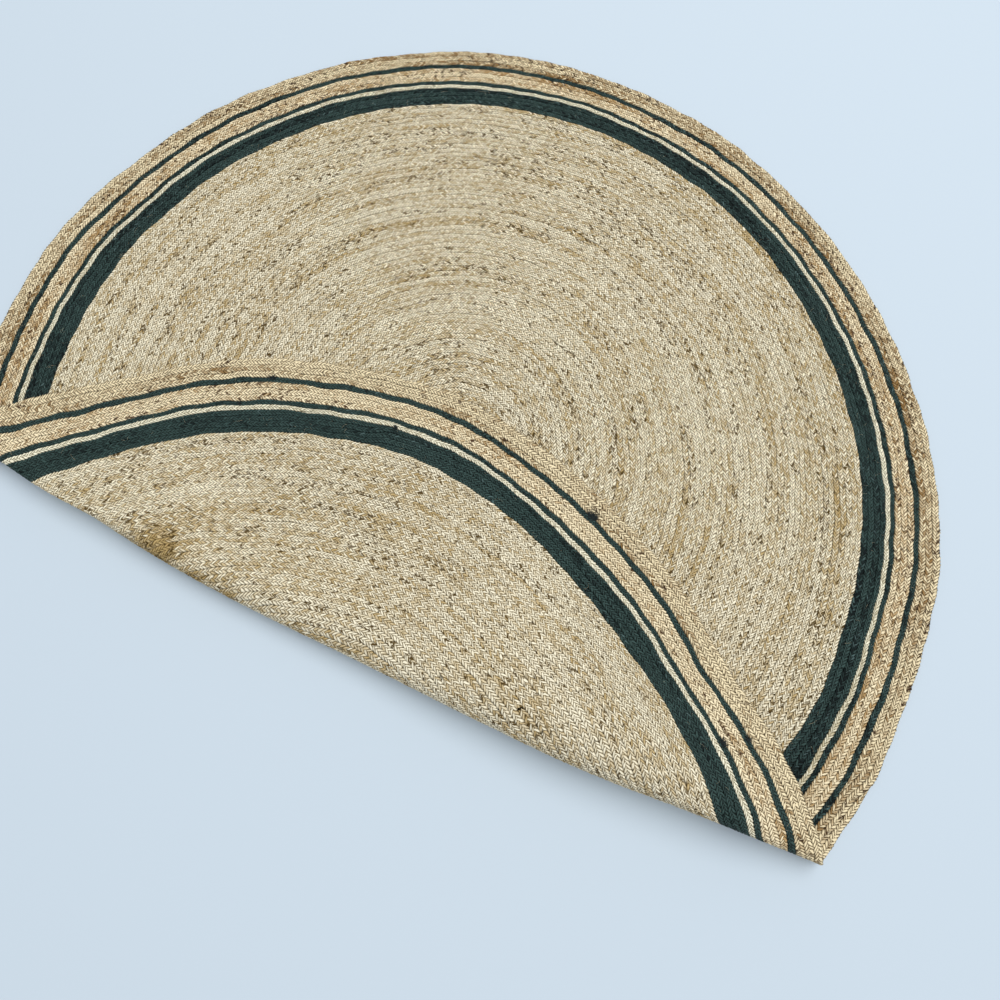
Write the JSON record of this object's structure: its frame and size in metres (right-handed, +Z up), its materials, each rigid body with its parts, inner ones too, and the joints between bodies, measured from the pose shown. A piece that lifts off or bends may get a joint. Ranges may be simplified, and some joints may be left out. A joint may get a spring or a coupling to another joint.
{
  "type": "braided rug",
  "caption": "Round flat rug of braided jute with dark green and bleached rings near its edge, lying with one side folded over on itself.",
  "frame": {"origin": "on the floor at the middle of the folded rug", "axes": "+Z up from the floor, X along the fold, -Y towards the fold"},
  "size_m": [2.1347, 1.5412, 0.1193],
  "materials": {
    "natural_jute": "matt undyed braid",
    "golden_jute": "matt undyed braid, browner than the field",
    "green_jute": "matt braid dyed dark green",
    "bleached_jute": "matt bleached braid"
  },
  "bodies": {
    "root": {"field": "natural_jute", "green_band": "green_jute", "white_row": "bleached_jute", "inner_green_row": "green_jute", "inner_natural_band": "golden_jute", "outer_green_row": "green_jute", "outer_natural_band": "golden_jute"}
  },
  "joints": []
}
